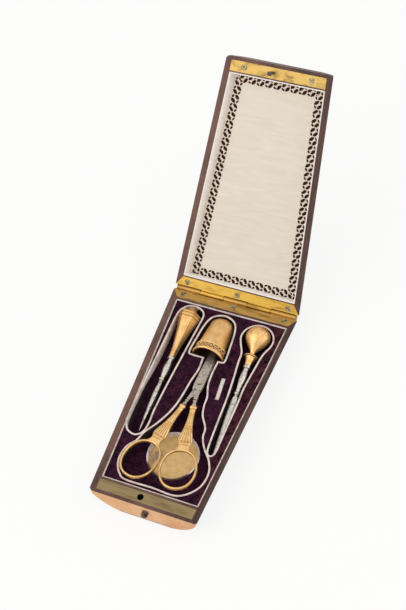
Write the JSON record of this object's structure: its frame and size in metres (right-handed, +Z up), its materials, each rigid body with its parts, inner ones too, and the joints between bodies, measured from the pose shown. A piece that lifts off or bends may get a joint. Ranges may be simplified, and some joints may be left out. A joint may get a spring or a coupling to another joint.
{
  "type": "sewing etui",
  "caption": "Tapered wooden sewing case with a stop-hinged lid, press-button latch and velvet tray holding thimble, scissors, stiletto and bodkin.",
  "frame": {"origin": "middle of the flat underside of the base, on the table", "axes": "+X to the right of the case seen from its front, +Y from the front to the hinge, +Z up"},
  "size_m": [0.0658, 0.207, 0.1024],
  "materials": {
    "rosewood": "polished",
    "pale_veneer": "polished",
    "dull_brass": "tarnished",
    "bright_brass": "polished",
    "lock_steel": "dull",
    "velvet": "pile",
    "white_card": "matte",
    "cream_paper": "matte",
    "cream_silk": "satin",
    "gilt": "satin",
    "tool_steel": "worn"
  },
  "bodies": {
    "base": {"base_shell": "rosewood", "front_veneer": "pale_veneer", "lock_plate": "dull_brass", "latch_spring": "lock_steel", "base_hinge_leaf": "dull_brass", "base_leaf_screws": "dull_brass", "hinge_pin": "bright_brass", "tray_board": "velvet", "card_edging": "white_card", "recess_floor": "velvet", "thimble_bed": "velvet", "scissors_rest": "velvet", "well_wall": "white_card", "well_floor": "cream_paper", "slot_card": "white_card"},
    "lid": {"lid_shell": "rosewood", "lid_veneer": "pale_veneer", "lid_hinge_leaf": "bright_brass", "lid_leaf_screws": "bright_brass", "lid_plate": "bright_brass", "lid_plate_screws": "bright_brass", "lid_catch": "lock_steel", "lid_lining": "cream_paper", "silk_panel": "cream_silk"},
    "button": {"push_button": "lock_steel"},
    "stiletto": {"stiletto_handle": "gilt", "stiletto_shaft": "tool_steel"},
    "bodkin": {"bodkin_handle": "gilt", "bodkin_shaft": "tool_steel"},
    "thimble": {"thimble": "gilt"},
    "scissors_left": {"left_blade": "tool_steel", "left_handle": "gilt", "scissors_pivot": "tool_steel"},
    "scissors_right": {"right_blade": "tool_steel", "right_handle": "gilt"}
  },
  "joints": [
    {"name": "lid_hinge", "type": "hinge", "parent": "base", "child": "lid", "pos_m": [0, 0.05918, 0.0139], "axis": [-1, 0, 0], "range_deg": [-132, 0]},
    {"name": "button_press", "type": "slide", "parent": "base", "child": "button", "axis": [0, 1, 0], "range_m": [0, 0.0012], "stiffness_N_per_m": 900, "deforming": ["latch_spring"]},
    {"name": "stiletto_lift", "type": "slide", "parent": "base", "child": "stiletto", "axis": [0, 0, 1], "range_m": [0, 0.03]},
    {"name": "bodkin_lift", "type": "slide", "parent": "base", "child": "bodkin", "axis": [0, 0, 1], "range_m": [0, 0.03]},
    {"name": "thimble_lift", "type": "slide", "parent": "base", "child": "thimble", "axis": [0, 0, 1], "range_m": [0, 0.03]},
    {"name": "scissors_draw", "type": "slide", "parent": "thimble", "child": "scissors_left", "axis": [0, -0.9135, 0.4067], "range_m": [0, 0.06]},
    {"name": "scissors_open", "type": "hinge", "parent": "scissors_left", "child": "scissors_right", "pos_m": [0.0001, 0.01058, 0.01175], "axis": [0, 0.061, 0.9981], "range_deg": [0, 45]}
  ],
  "couplings": [
    {"joint": "scissors_open", "follows": "scissors_draw", "rad_per_m": 13.09}
  ]
}
